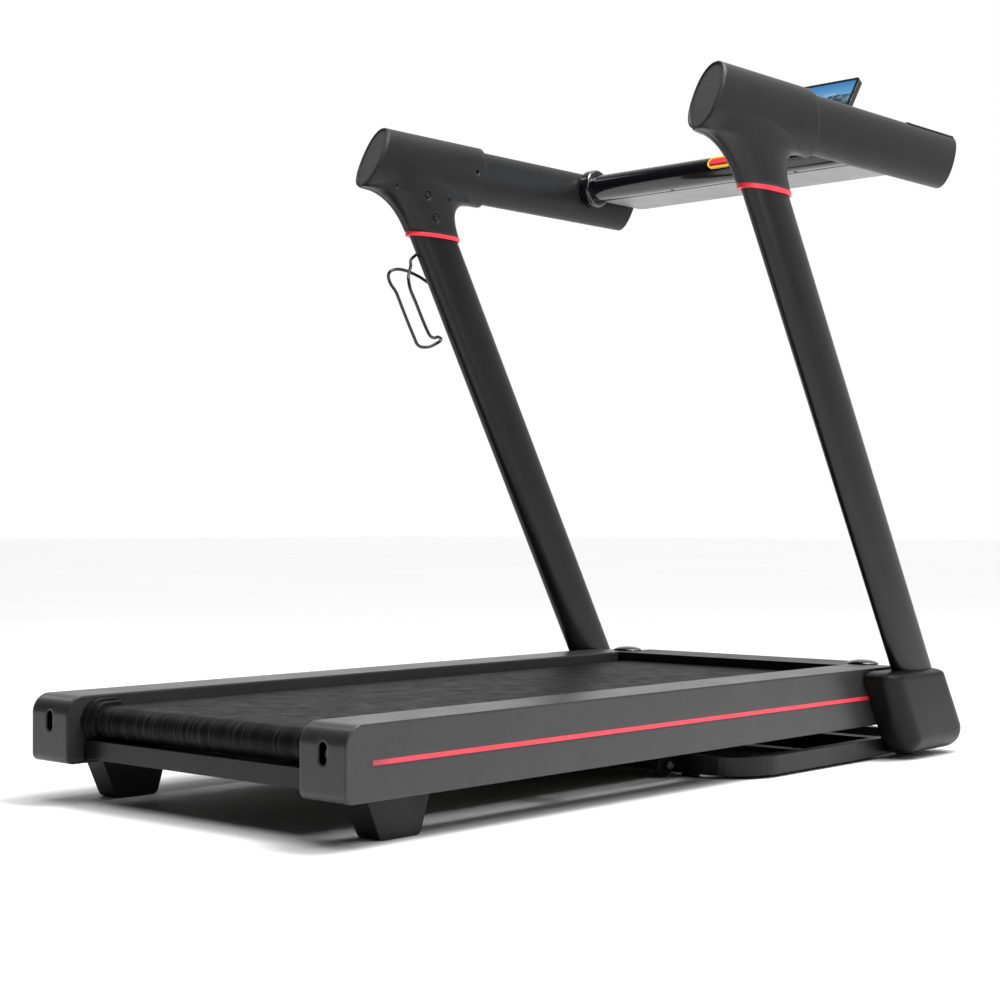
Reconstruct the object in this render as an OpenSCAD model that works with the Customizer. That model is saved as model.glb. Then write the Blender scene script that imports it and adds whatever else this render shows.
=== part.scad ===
// Home treadmill whose running deck folds up between two raked uprights.
// +X is the user's right, +Y runs from the rear end to the console, +Z is up.
// Inside the modules Y is measured from the rear end of the side rails, and place()
// moves the finished parts so that the origin lies under the middle of the object.

/* [Deck] */
// Overall width across both side rails
deck_w = 720; // [640:10:860]
// Distance from the rear end of the side rails to the fold pivot
pivot_y = 1420; // [1250:10:1720]
// Width of one side rail
rail_w = 91; // [78:1:110]
// Height of a side rail
rail_h = 105.4; // [100:0.2:130]
// Height of the rail undersides above the floor
rail_z = 63.6; // [58:0.2:76]
// Wall of the side rails and of their nose caps
rail_wall = 3; // [2:0.2:4]
// Depth of the running surface below the rail tops
belt_drop = 16.5; // [14:0.5:22]
// Thickness of the running belt
belt_t = 2; // [1.6:0.1:2.6]
// Gap between the belt edge and the rail
belt_side = 29; // [26:1:36]
// Radius of both rollers
roller_r = 23; // [20:0.5:25]
// Thickness of the deck board
board_t = 18; // [15:0.5:18]
// Length of the motor hood along the deck
hood_l = 130; // [120:1:140]

/* [Uprights] */
// Rake of the uprights away from vertical
lean = 30.2; // [26:0.1:33]
// Depth of the flat-oval upright tube, square to its axis
upright_d = 110; // [90:1:120]
// Thickness of the flat-oval upright tube
upright_t = 40; // [34:1:44]
// Gap between an upright and the side rail that folds past it
upright_gap = 10; // [8:0.5:16]
// Height of the handle centre line above the floor
head_z = 1135; // [1000:5:1250]
// Height of the middle of the trim ring above the floor
ring_z = 1000.5; // [880:0.5:1110]

/* [Handles] */
// Height of the head shell at the top of an upright
head_h = 120; // [116:1:130]
// Distance from the upright axis back to the middle of the head's rear end
head_back = 89; // [76:1:104]
// Distance from the upright axis forward to the joint with the handle
head_front = 208; // [190:1:228]
// Height of the flat-oval handle tube
handle_h = 106; // [96:1:106]
// Width of the flat-oval handle tube
handle_t = 44; // [38:1:46]
// Distance from the upright axis forward to the middle of the handle's front end
handle_l = 692; // [660:2:760]
// Slant of the head's rear end face
head_slant = 27; // [0:0.5:33]
// Slant of the handle's front end face
handle_slant = 25.7; // [0:0.1:33]

/* [Console] */
// Outer diameter of the crossbar
crossbar_d = 54; // [44:1:58]
// Distance from the upright axis forward to the crossbar
crossbar_back = 542; // [520:2:580]
// Height of the crossbar above the handle centre line
crossbar_up = 18; // [10:1:20]
// Depth of the console tray
tray_l = 134; // [130:1:150]
// Width of the display
display_w = 272; // [220:2:420]
// Height of the display
display_h = 164; // [140:1:220]
// Thickness of the display
display_t = 12; // [10:0.5:16]
// Lean of the display away from the user
display_lean = 34.8; // [20:0.2:40]

/* [Base] */
// Length of the floor frame behind the pivot
base_l = 502; // [460:2:560]
// Height of the floor frame's tube
base_h = 32; // [28:1:34]
// Width of the floor frame's tube
base_t = 20; // [16:1:24]
// Thickness of the rubber feet under the floor frame
pad_t = 6; // [4:0.5:8]
// Diameter of the transport wheels
wheel_d = 42; // [36:1:46]

/* [Fits] */
// Radial running clearance of every turning or sliding fit
run_gap = 0.05; // [0.02:0.01:0.09]
// Free gap between pieces that move past each other
free_gap = 0.6; // [0.4:0.1:1]
// Gap around pieces that are pushed together and stay put
seat_gap = 0.2; // [0.1:0.05:0.3]

/* [Hidden] */
$fn = 48;

CHARCOAL = [0.25, 0.25, 0.26];
BLACK = [0.1, 0.1, 0.105];
RED = [0.9, 0.2, 0.25];
STEEL = [0.62, 0.63, 0.65];
SILVER = [0.78, 0.78, 0.79];
BOARD = [0.5, 0.38, 0.26];

// Side rails
rail_top = rail_z + rail_h;
rail_x1 = deck_w / 2;
rail_x0 = rail_x1 - rail_w;
rail_mid_z = rail_z + rail_h / 2;
rail_top_r = 30;
rail_bottom_r = 12;
rail_lip = 26;
nose_y = pivot_y - 48;
nose_join = 0.4;
stripe_h = 7;
stripe_z = rail_z + 52.2;
stripe_y0 = 49;
stripe_depth = 1;
stripe_proud = 0.3;
pivot_z = rail_mid_z;
slot_w = 17;
slot_h = 32;
slot_z = rail_z + 66;

// Running belt, rollers and board
belt_x = rail_x0 - belt_side;
belt_top = rail_top - belt_drop;
roller_z = belt_top - belt_t - roller_r;
rear_roller_y = 62;
front_roller_y = pivot_y - 28;
axle_r = 8;
roller_end = 4;
bearing_r = 17.5;
bearing_l = 12;
board_z1 = belt_top - belt_t - 0.3;
board_z0 = board_z1 - board_t;
cushion_t = 4.2;
cushion_r = 16;
member_z1 = board_z0 - cushion_t;
member_z0 = belt_top - 2 * (belt_t + roller_r) + belt_t + 1.5;
member_l = 40;
member_count = 4;
member_first = 210;
member_last = pivot_y - 160;
beam_t = 25;
beam_wall = 2.5;
beam_x0 = rail_x0 + 0.7;
beam_z0 = rail_z + 4.4;
beam_z1 = rail_z + 64;
rear_bar_y = 34;
rear_bar_l = 42;
rear_bar_z0 = rail_z + 7;
rear_bar_z1 = roller_z - roller_r - belt_t - 2.5;

// Motor bay
hood_y0 = pivot_y - 50;
hood_y1 = hood_y0 + hood_l;
hood_x = rail_x0 - 0.8;
hood_wall = 3;
motor_y = pivot_y + 36;
motor_z = rail_z + 48;
motor_r = 31;
pulley_x0 = belt_x + 10;
pulley_w = 14;
roller_pulley_r = roller_r + 3;
motor_pulley_r = 12;
drive_belt_t = 3;
inlet_x = 205;
inlet_z = rail_z + 38;
rocker_pin_r = 1.5;

// Uprights, heads and handles
function lean_y(z) = pivot_y + 2.9 - (z - rail_top) * tan(lean);
upright_x = rail_x1 + upright_gap + upright_t / 2;
upright_wall = 2.5;
head_y = lean_y(head_z);
head_clear = 2.5;
head_hw = upright_x - rail_x1 - head_clear;
head_hh = head_h / 2;
head_wall = 3.5;
handle_y1 = head_y + handle_l;
handle_wall = 2.5;
ring_h = 8;
ring_proud = 4;
ring_y = lean_y(ring_z);
ring_hy = upright_d / 2 / cos(lean) + ring_proud + 3.5;
ring_hx = upright_t / 2 + ring_proud;
neck_steps = 10;
cap_t = 3;
cap_recess = 1.6;

// Console
bar_y = head_y + crossbar_back;
bar_z = head_z + crossbar_up;
bar_r = crossbar_d / 2;
bar_end = upright_x - handle_t / 2 - 2;
collar_r = bar_r + 12.5;
collar_w = 20;
tray_y0 = bar_y + bar_r - 6;
tray_y1 = tray_y0 + tray_l;
tray_x = bar_end - 14;
tray_z0 = bar_z - bar_r + 2;
tray_t = 10;
tray_lip = 10;
underplate_t = 1.2;
hinge_y = tray_y0 + tray_l - 25.7;
hinge_z = tray_z0 + tray_t + 12;
hinge_r = 7;
hinge_pin_r = 3;
panel_gap = 88.4;
panel_front = 9.5;
glass_t = 1.6;
bezel = 7;

// Floor frame, boots and folding strut
base_x1 = rail_x1 + 3.5;
base_x0 = base_x1 - base_t;
base_z1 = pad_t + base_h;
base_y0 = pivot_y - base_l;
base_y1 = pivot_y + 118;
base_corner = 100;
boot_x0 = rail_x1 + 4;
boot_x1 = upright_x + upright_t / 2 + 20;
boot_wall = 4;
boot_top = rail_top - 4;
bracket_t = upright_gap - 5.5;
bracket_z0 = pad_t + 12;
bracket_x0 = base_x1;
pivot_r = 8;
boss_r = 15;
boss_x0 = beam_x0 + beam_t;
boss_x1 = rail_x1 - rail_wall - 4;
wheel_x = 216;
wheel_w = 16;
wheel_y = base_y0 - wheel_d / 2 - 12;
wheel_z = wheel_d / 2 + 1;
wheel_axle_r = 4;
strut_x = 60;
strut_low = [pivot_y - 54, base_z1 + 8];
strut_high = [pivot_y - 240, rail_z + 16.4];
strut_l = norm(strut_high - strut_low);
strut_angle = atan2(strut_high[1] - strut_low[1], strut_high[0] - strut_low[0]);
strut_rod_r = 4;
strut_tube_r = 10;
strut_tube_l = 126;
strut_pin_r = 4;

// Overall length, from the rail ends to whichever is further: the handles or the display
display_tip_y = hinge_y + (panel_gap + display_h) * sin(display_lean)
    + (display_t - panel_front) * cos(display_lean);
handle_tip_y = handle_y1 + handle_h / 2 * tan(handle_slant);
front_y = max(display_tip_y, handle_tip_y);

// ---------- helpers ----------

module place() {
    translate([0, -front_y / 2, 0]) children();
}

module left() {
    mirror([1, 0, 0]) children();
}

module both() {
    children();
    mirror([1, 0, 0]) children();
}

function arc(c, r, a0, a1, n) = [
    for (i = [0:n]) let (a = a0 + (a1 - a0) * i / n) [c[0] + r * cos(a), c[1] + r * sin(a)]
];

function oval(a, b, n = 64, e = 2.25) = [
    for (i = [0:n - 1])
        let (t = 360 * i / n)
        [a * sign(cos(t)) * pow(abs(cos(t)), 2 / e), b * sign(sin(t)) * pow(abs(sin(t)), 2 / e)]
];

// Extrudes an outline drawn in Y and Z from x0 to x1
module along_x(x0, x1) {
    translate([x0, 0, 0]) rotate([90, 0, 90]) linear_extrude(x1 - x0) children();
}

// Extrudes an outline drawn in X and Z from y0 to y1
module along_y(y0, y1) {
    translate([0, y1, 0]) rotate([90, 0, 0]) linear_extrude(y1 - y0) children();
}

module rod_x(x0, x1, y, z, r) {
    translate([x0, y, z]) rotate([0, 90, 0]) cylinder(r = r, h = x1 - x0);
}

module block(x0, x1, y0, y1, z0, z1) {
    translate([x0, y0, z0]) cube([x1 - x0, y1 - y0, z1 - z0]);
}

// Outline of a taut loop round two pulleys
function loop_points(c1, r1, c2, r2) = let (
    a = atan2(c2[1] - c1[1], c2[0] - c1[0]),
    b = acos((r1 - r2) / norm(c2 - c1))
) concat(arc(c1, r1, a + b, a + 360 - b, 64), arc(c2, r2, a - b, a + b, 64));

module loop(c1, r1, c2, r2, t) {
    difference() {
        polygon(loop_points(c1, r1 + t, c2, r2 + t));
        polygon(loop_points(c1, r1, c2, r2));
    }
}

// ---------- floor frame ----------

module base_outline(inset) {
    r = base_corner - inset;
    x = base_x1 - inset;
    polygon(concat(
        [[x, base_y1]],
        arc([base_x1 - base_corner, base_y0 + base_corner], r, 0, -90, 12),
        arc([-base_x1 + base_corner, base_y0 + base_corner], r, -90, -180, 12),
        [[-x, base_y1]]
    ));
}

module base_frame() {
    color(BLACK) place() difference() {
        union() {
            translate([0, 0, pad_t]) linear_extrude(base_h) difference() {
                base_outline(0);
                difference() {
                    base_outline(base_t);
                    translate([-base_x1, base_y1 - base_t]) square([2 * base_x1, base_t * 2]);
                }
            }
            block(-base_x0 - 1, base_x0 + 1, pivot_y - 68, pivot_y - 38, pad_t, base_z1);
            for (s = [-1, 1]) {
                strut_ear(strut_x + s * 9, strut_low, base_z1 - 2);
            }
            both() wheel_fork();
        }
        rod_x(strut_x - 20, strut_x + 20, strut_low[0], strut_low[1], strut_pin_r + run_gap);
    }
}

module strut_ear(x, at, foot_z) {
    difference() {
        union() {
            rod_x(x - 2, x + 2, at[0], at[1], 8);
            block(x - 2, x + 2, at[0] - 8, at[0] + 8, min(foot_z, at[1]), max(foot_z, at[1]));
        }
        rod_x(x - 3, x + 3, at[0], at[1], strut_pin_r + run_gap);
    }
}

module wheel_fork() {
    for (s = [-1, 1]) {
        x = wheel_x + s * (wheel_w / 2 + 3);
        difference() {
            union() {
                block(x - 1.5, x + 1.5, wheel_y, base_y0 + 1, wheel_z - 8, wheel_z + 8);
                rod_x(x - 1.5, x + 1.5, wheel_y, wheel_z, 8);
            }
            rod_x(x - 2, x + 2, wheel_y, wheel_z, wheel_axle_r + 0.02);
        }
    }
}

module base_feet() {
    foot_l = 30;
    color(BLACK) place() both() {
        for (at = [[wheel_x + 26, base_y0 + base_t / 2], [base_x1 - base_t / 2, pivot_y + 36]])
            translate([at[0], at[1], 0]) linear_extrude(pad_t)
                polygon(oval(foot_l / 2, base_t / 2, 40, 5));
    }
}

module wheel_axles() {
    color(STEEL) place() both() {
        rod_x(wheel_x - wheel_w / 2 - 7, wheel_x + wheel_w / 2 + 5, wheel_y, wheel_z, wheel_axle_r);
        rod_x(wheel_x - wheel_w / 2 - 8.5, wheel_x - wheel_w / 2 - 5, wheel_y, wheel_z, 6.5);
        rod_x(wheel_x + wheel_w / 2 + 5, wheel_x + wheel_w / 2 + 9, wheel_y, wheel_z, 6.5);
    }
}

module wheel() {
    hub_r = wheel_axle_r + run_gap;
    color(BLACK) translate([wheel_x, wheel_y, wheel_z]) rotate([0, 90, 0]) rotate_extrude()
        polygon([
            [hub_r, -wheel_w / 2], [wheel_d / 2 - 7, -wheel_w / 2], [wheel_d / 2 - 7, -wheel_w / 2 + 2],
            [wheel_d / 2 - 3, -wheel_w / 2 + 1], [wheel_d / 2, -wheel_w / 2 + 4],
            [wheel_d / 2, wheel_w / 2 - 4], [wheel_d / 2 - 3, wheel_w / 2 - 1],
            [wheel_d / 2 - 7, wheel_w / 2 - 2], [wheel_d / 2 - 7, wheel_w / 2], [hub_r, wheel_w / 2]
        ]);
}

module wheel_left() {
    place() left() wheel();
}

module wheel_right() {
    place() wheel();
}

// ---------- boots, uprights and pivots ----------

// Centres of the rounded corners of a boot seen from the side, their radii in height and in plan
boot_knots = [
    [pivot_y - 92, boot_top - 10, 10, 32],
    [pivot_y + 47, boot_top - 10, 10, 32],
    [pivot_y + 110, 47, 37, 37],
    [pivot_y - 27, 44, 34, 34]
];

module boot_solid(inset, x0) {
    hull() for (k = boot_knots) {
        r = k[2] - inset;
        wide = k[3] - inset;
        translate([boot_x1 - k[3], k[0], k[1]]) scale([wide / r, wide / r, 1]) sphere(r = r, $fn = 32);
        along_x(x0, x0 + 2) translate([k[0], k[1]]) scale([wide / r, 1]) circle(r, $fn = 32);
    }
}

module boot() {
    color(BLACK) difference() {
        intersection() {
            boot_solid(0, boot_x0);
            block(boot_x0, boot_x1 + 1, 0, 2 * pivot_y, 0, 2 * rail_top);
        }
        boot_solid(boot_wall, boot_x0 - 4);
        leaning_tube(upright_d / 2 + 0.4, upright_t / 2 + 0.4, 100, 260);
    }
}

module boot_left() {
    place() left() boot();
}

module boot_right() {
    place() boot();
}

// Oval prism on the upright's axis between two heights
module leaning_tube(a, b, z0, z1) {
    translate([upright_x, lean_y(z0), z0]) rotate([lean, 0, 0])
        linear_extrude((z1 - z0) / cos(lean)) polygon(oval(b, a, 72));
}

module upright() {
    top_z = head_z - handle_h / 2 + 22;
    color(BLACK) difference() {
        leaning_tube(upright_d / 2, upright_t / 2, 66, top_z);
        leaning_tube(upright_d / 2 - upright_wall, upright_t / 2 - upright_wall, 60, top_z + 6);
        handle_solid(seat_gap);
    }
}

module upright_left() {
    place() left() upright();
}

module upright_right() {
    place() upright();
}

module pivot_brackets() {
    color(BLACK) place() both() difference() {
        union() {
            along_x(bracket_x0, bracket_x0 + bracket_t) polygon([
                [pivot_y - 24, bracket_z0], [pivot_y + 90, bracket_z0], [pivot_y + 84, 70],
                [pivot_y + 30, rail_top - 14], [pivot_y - 34, rail_top - 14],
                [pivot_y - 44, 100], [pivot_y - 38, 50]
            ]);
            block(bracket_x0 + 1, upright_x - 9, pivot_y + 12, pivot_y + 54, 84, 120);
        }
        leaning_tube(upright_d / 2 + 0.05, upright_t / 2 + 0.05, 40, 200);
        rod_x(bracket_x0 - 1, bracket_x0 + bracket_t + 1, pivot_y, pivot_z, pivot_r + 0.02);
    }
}

module pivot_bolts() {
    color(STEEL) place() both() {
        rod_x(boss_x0 + 4, bracket_x0 + bracket_t - 0.5, pivot_y, pivot_z, pivot_r);
    }
}

module neck_ring() {
    color(RED) difference() {
        translate([upright_x, ring_y, ring_z - ring_h / 2]) linear_extrude(ring_h)
            polygon(oval(ring_hx, ring_hy, 72));
        leaning_tube(upright_d / 2 + seat_gap, upright_t / 2 + seat_gap, ring_z - 60, ring_z + 60);
    }
}

module neck_rings() {
    place() both() neck_ring();
}

// ---------- heads and handles ----------

// Everything in front of (side 1) or behind (side -1) a slanted end face
module slant_side(y, side, slant) {
    translate([upright_x, y, head_z]) rotate([-slant, 0, 0])
        translate([-60, side > 0 ? 0 : -1400, -900]) cube([120, 1400, 1800]);
}

module flat_oval_y(hh, hw, y0, y1) {
    along_y(y0, y1) translate([upright_x, head_z]) polygon(oval(hw, hh, 72));
}

function bezier(a, b, c, t) = (1 - t) * (1 - t) * a + 2 * t * (1 - t) * b + t * t * c;

// Neck of a head: sections from the ring up into the barrel, each [half width, half length, Y, z]
function neck_section(i) = let (
    t = 1 - min(i, neck_steps) / neck_steps,
    z0 = ring_z + ring_h / 2,
    z1 = head_z - head_hh,
    rear = bezier(head_y - head_back - 32, lean_y(z1) - ring_hy, lean_y(z0) - ring_hy, t),
    front = bezier(head_y + 182, lean_y(z1) + ring_hy + 6, lean_y(z0) + ring_hy, t)
) [
    ring_hx + (head_hw - 1 - ring_hx) * (1 - t), (front - rear) / 2, (front + rear) / 2,
    i > neck_steps ? head_z : z1 - (z1 - z0) * t * t
];

module loft(sections, n) {
    count = len(sections);
    points = [
        for (s = sections) for (p = oval(s[0], s[1], n)) [p[0], s[2] + p[1], s[3]]
    ];
    faces = concat(
        [[for (k = [0:n - 1]) k]],
        [[for (k = [n - 1:-1:0]) (count - 1) * n + k]],
        [for (i = [0:count - 2], k = [0:n - 1]) let (m = (k + 1) % n) [i * n + m, i * n + k, (i + 1) * n + m]],
        [for (i = [0:count - 2], k = [0:n - 1]) let (m = (k + 1) % n) [(i + 1) * n + m, i * n + k, (i + 1) * n + k]]
    );
    polyhedron(points, faces, convexity = 4);
}

module head_solid() {
    intersection() {
        union() {
            flat_oval_y(head_hh, head_hw, head_y - 200, head_y + head_front);
            translate([upright_x, 0, 0]) loft([for (i = [0:neck_steps + 1]) neck_section(i)], 48);
        }
        slant_side(head_y - head_back, 1, head_slant);
    }
}

module head_shell() {
    difference() {
        head_solid();
        flat_oval_y(head_hh - head_wall, head_hw - head_wall, head_y - 250, head_y + head_front - 6);
        leaning_tube(upright_d / 2 + seat_gap, upright_t / 2 + seat_gap, ring_z - 60, head_z);
        handle_solid(seat_gap);
        screw_holes(head_screws, 8.6, 4.2);
        screw_holes(head_sockets, 4.2, 6);
    }
}

// Fasteners on the inner face of a head: distance along Y from the axis, and height
head_screws = [[38, -59], [62, -100]];
head_sockets = [[-46, -52], [100, -60], [178, 5]];

module screw_holes(spots, r, deep) {
    for (s = spots) rod_x(0, upright_x - head_hw + deep, head_y + s[0], head_z + s[1], r);
}

module head_half(outer) {
    color(CHARCOAL) intersection() {
        head_shell();
        block(outer ? upright_x + 0.1 : 0, outer ? 2 * upright_x : upright_x - 0.1,
            head_y - 300, head_y + 400, 0, 2 * head_z);
    }
}

module head_outer_left() {
    place() left() head_half(true);
}

module head_inner_left() {
    place() left() head_half(false);
}

module head_outer_right() {
    place() head_half(true);
}

module head_inner_right() {
    place() head_half(false);
}

module handle_solid(grow) {
    intersection() {
        flat_oval_y(handle_h / 2 + grow, handle_t / 2 + grow, head_y - 30 - grow, handle_y1 + 200);
        slant_side(handle_y1, -1, handle_slant);
    }
}

module handle() {
    color(CHARCOAL) difference() {
        handle_solid(0);
        intersection() {
            flat_oval_y(handle_h / 2 - handle_wall, handle_t / 2 - handle_wall, head_y - 60, handle_y1 + 200);
            slant_side(handle_y1 + 10, -1, handle_slant);
        }
    }
}

module handle_left() {
    place() left() handle();
}

module handle_right() {
    place() handle();
}

// Oval plate lying in a slanted end face, between two distances from it
module slanted_plate(hh, hw, y, d0, d1, slant) {
    intersection() {
        flat_oval_y(hh, hw, y - 200, y + 200);
        slant_side(y + d0, 1, slant);
        slant_side(y + d1, -1, slant);
    }
}

module tube_end_caps() {
    color(BLACK) place() both() {
        slanted_plate(head_hh - head_wall - seat_gap, head_hw - head_wall - seat_gap,
            head_y - head_back, cap_recess, cap_recess + cap_t, head_slant);
        slanted_plate(handle_h / 2 - handle_wall - seat_gap, handle_t / 2 - handle_wall - seat_gap,
            handle_y1, -cap_recess - cap_t, -cap_recess, handle_slant);
    }
}

module button_screw(r, h) {
    difference() {
        cylinder(r = r, h = h);
        translate([0, 0, h - 1.2]) cylinder(r = r * 0.45, h = 2, $fn = 6);
    }
}

module button_screws() {
    color(STEEL) place() {
        both() for (s = head_screws)
            translate([upright_x - head_hw + 4.2, head_y + s[0], head_z + s[1]])
                rotate([0, -90, 0]) button_screw(5, 2.6);
        for (x = [-150, 150])
            translate([x, bar_y, bar_z - bar_r + 1.2]) rotate([180, 0, 0]) button_screw(4, 2);
        for (e = cage_ends) cage_side(e) translate([0, 0, cage_eye_t]) button_screw(4.4, 2.4);
    }
}

// ---------- console ----------

pad_y0 = bar_y + 6;
pad_l = 170;
pad_t_out = 2.4;
button_r = 7;
button_h = 3;
button_ys = [46, 74];

// Part of a shell of pad_t_out over the top of a handle
module pad_shell(grow) {
    intersection() {
        flat_oval_y(handle_h / 2 + grow, handle_t / 2 + grow, pad_y0, pad_y0 + pad_l);
        block(upright_x - handle_t / 2 - 12, upright_x + 10, pad_y0, pad_y0 + pad_l,
            head_z + handle_h / 2 - 24, head_z + handle_h);
        slant_side(handle_y1 - 4, -1, handle_slant);
    }
}

module button_bore(y, r) {
    translate([upright_x - 4, pad_y0 + y, head_z + handle_h / 2 - 8]) cylinder(r = r, h = 30);
}

module handle_pads() {
    color(BLACK) place() both() difference() {
        pad_shell(pad_t_out);
        handle_solid(seat_gap);
        rod_x(0, upright_x - handle_t / 2 + 6, bar_y, bar_z, collar_r + seat_gap);
        for (y = button_ys) button_bore(y, button_r + 0.3);
    }
}

module button(y) {
    top = head_z + handle_h / 2 + pad_t_out;
    translate([upright_x - 4, pad_y0 + y, top - 0.8]) union() {
        cylinder(r = button_r, h = 1.4);
        translate([0, 0, 1.4]) cylinder(r1 = button_r, r2 = button_r - 1, h = 0.6);
    }
}

module button_speed_up() {
    color(SILVER) place() button(button_ys[1]);
}

module button_speed_down() {
    color(SILVER) place() button(button_ys[0]);
}

module button_start() {
    color(SILVER) place() left() button(button_ys[1]);
}

module button_stop() {
    color(RED) place() left() button(button_ys[0]);
}

module crossbar() {
    color(BLACK) place() difference() {
        rod_x(-bar_end, bar_end, bar_y, bar_z, bar_r);
        rod_x(-bar_end - 1, bar_end + 1, bar_y, bar_z, bar_r - 2.5);
        for (x = [-150, 150]) translate([x, bar_y, bar_z - bar_r - 1]) cylinder(r = 4.4, h = 6);
        key_pocket();
    }
}

module crossbar_collars() {
    color(BLACK) place() both() difference() {
        translate([bar_end - collar_w, bar_y, bar_z]) rotate([0, 90, 0]) rotate_extrude()
            polygon(concat(
                [[bar_r + seat_gap, 0]],
                arc([collar_r - 6, 6], 6, -90, 0, 6),
                [[collar_r, collar_w], [bar_r + seat_gap, collar_w]]
            ));
        along_y(bar_y - 60, bar_y + 60) translate([upright_x, head_z])
            polygon(oval(handle_t / 2 + seat_gap, handle_h / 2 + seat_gap, 72));
    }
}

module console_tray() {
    color(BLACK) place() difference() {
        union() {
            translate([0, 0, tray_z0]) linear_extrude(tray_t) tray_outline(0, 0);
            translate([0, 0, tray_z0 + 1]) linear_extrude(tray_t + tray_lip - 1) difference() {
                tray_outline(0, 8);
                tray_outline(4, -20);
            }
        }
        translate([0, 0, tray_z0 - 1]) linear_extrude(underplate_t + 1.2) tray_outline(2, -3);
        rod_x(-bar_end - 5, bar_end + 5, bar_y, bar_z, bar_r + seat_gap);
        collar_room();
    }
}

// Tray from above: inset from its free edges, and cut back by rear_cut at the crossbar
module tray_outline(inset, rear_cut) {
    r = 14 - inset / 2;
    x = tray_x - inset;
    polygon(concat(
        [[-x, tray_y0 + rear_cut], [x, tray_y0 + rear_cut]],
        arc([x - r, tray_y1 - inset - r], r, 0, 90, 6),
        arc([-x + r, tray_y1 - inset - r], r, 90, 180, 6)
    ));
}

module collar_room() {
    both() rod_x(bar_end - collar_w - seat_gap, bar_end + 5, bar_y, bar_z, collar_r + seat_gap);
}

module tray_underplate() {
    color(SILVER) place() difference() {
        translate([0, 0, tray_z0]) linear_extrude(underplate_t) tray_outline(2.3, -1);
        rod_x(-bar_end - 5, bar_end + 5, bar_y, bar_z, bar_r + seat_gap);
        collar_room();
    }
}

knuckle_w = 18;
knuckle_x = 45;

module display_bracket() {
    color(BLACK) place() both() for (s = [-1, 1]) {
        x = knuckle_x + s * (knuckle_w + free_gap);
        difference() {
            union() {
                rod_x(x - knuckle_w / 2, x + knuckle_w / 2, hinge_y, hinge_z, hinge_r);
                block(x - knuckle_w / 2, x + knuckle_w / 2, hinge_y - hinge_r, hinge_y + hinge_r,
                    tray_z0 + tray_t, hinge_z);
            }
            rod_x(x - knuckle_w, x + knuckle_w, hinge_y, hinge_z, hinge_pin_r + run_gap);
        }
    }
}

// Frame of the display: origin on its hinge, Z up its face, -Y towards the user
module at_display() {
    translate([0, hinge_y, hinge_z]) rotate([-display_lean, 0, 0]) children();
}

module display_outline(inset, r) {
    w = display_w / 2 - inset;
    z0 = panel_gap + inset;
    z1 = panel_gap + display_h - inset;
    polygon(concat(
        arc([w - r, z0 + r], r, -90, 0, 6), arc([w - r, z1 - r], r, 0, 90, 6),
        arc([-w + r, z1 - r], r, 90, 180, 6), arc([-w + r, z0 + r], r, 180, 270, 6)
    ));
}

module display_housing() {
    color(BLACK) place() at_display() {
        difference() {
            along_y(-panel_front, display_t - panel_front) display_outline(0, 9);
            along_y(-panel_front - 1, -panel_front + glass_t) display_outline(1.2, 8);
        }
        along_y(-4, 2) polygon([
            [-knuckle_x - 9, 9], [knuckle_x + 9, 9],
            [knuckle_x + 24, panel_gap + 10], [-knuckle_x - 24, panel_gap + 10]
        ]);
        for (x = [-knuckle_x, knuckle_x]) {
            rod_x(x - knuckle_w / 2, x + knuckle_w / 2, 0, 0, hinge_r - 1);
            block(x - knuckle_w / 2, x + knuckle_w / 2, -4, 2, 0, 12);
            rod_x(x - knuckle_w * 1.4, x + knuckle_w * 1.4, 0, 0, hinge_pin_r);
        }
    }
}

module display_glass() {
    color([0.15, 0.3, 0.45]) place() at_display()
        along_y(-panel_front + 0.1, -panel_front + glass_t - 0.1) display_outline(1.6, 8);
}

key_angle = 23;
key_w = 84;
key_h = 25;

// Pill outline, w long along X and h high along Y
module pill(w, h) {
    for (s = [-1, 1]) translate([s * (w - h) / 2, 0]) circle(h / 2);
    square([w - h, h], center = true);
}

// Frame of the safety key: origin on the crossbar's surface, Z pointing out of it
module at_key() {
    translate([0, bar_y, bar_z]) rotate([90 - key_angle, 0, 0]) translate([0, 0, bar_r]) children();
}

module key_pocket() {
    at_key() translate([0, 0, -8]) linear_extrude(20) pill(key_w - 3, key_h - 3);
}

module key_socket() {
    color([0.95, 0.8, 0.1]) place() at_key() difference() {
        union() {
            translate([0, 0, -6.8]) linear_extrude(7.8) pill(key_w - 3.6, key_h - 3.6);
            difference() {
                translate([0, 0, -3.4]) linear_extrude(5.8) pill(key_w, key_h);
                translate([0, 0, -bar_r]) rotate([0, 90, 0])
                    cylinder(r = bar_r + 0.02, h = key_w + 20, center = true);
            }
        }
        translate([0, 0, -5]) linear_extrude(12) pill(key_w - 7.6, key_h - 7.6);
    }
}

module safety_key() {
    color(RED) place() at_key() {
        translate([0, 0, -4.6]) linear_extrude(7.6) pill(key_w - 8.8, key_h - 8.8);
        translate([0, 0, 2.9]) linear_extrude(2) pill(key_w - 14, key_h - 14);
    }
}

// ---------- bottle cage ----------

cage_z = 900;
cage_out = 6;
cage_eye_t = 3;
wire_r = 3.2;

// Points of the wire: up along the upright, away from its rear face, and sideways
cage_route = [
    [98, 33, 18], [97, 59, 14], [94, 87, -8], [86, 112, -20], [77, 123, -25], [60, 130, -28],
    [34, 130, -29], [0, 130, -29], [-25, 128, -28], [-40, 123, -25], [-51, 110, -20],
    [-57, 92, -12], [-67, 78, -4], [-73, 76, 3], [-75, 83, 10], [-74, 97, 15], [-67, 112, 20],
    [-58, 117, 24], [-45, 116, 26], [-14, 115, 28], [25, 114, 29], [54, 114, 29], [72, 120, 28],
    [86, 122, 26], [95, 119, 24], [98, 110, 22], [93, 94, 21], [83, 78, 20], [72, 65, 20],
    [55, 48, 19.5], [37, 34, 19]
];

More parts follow.
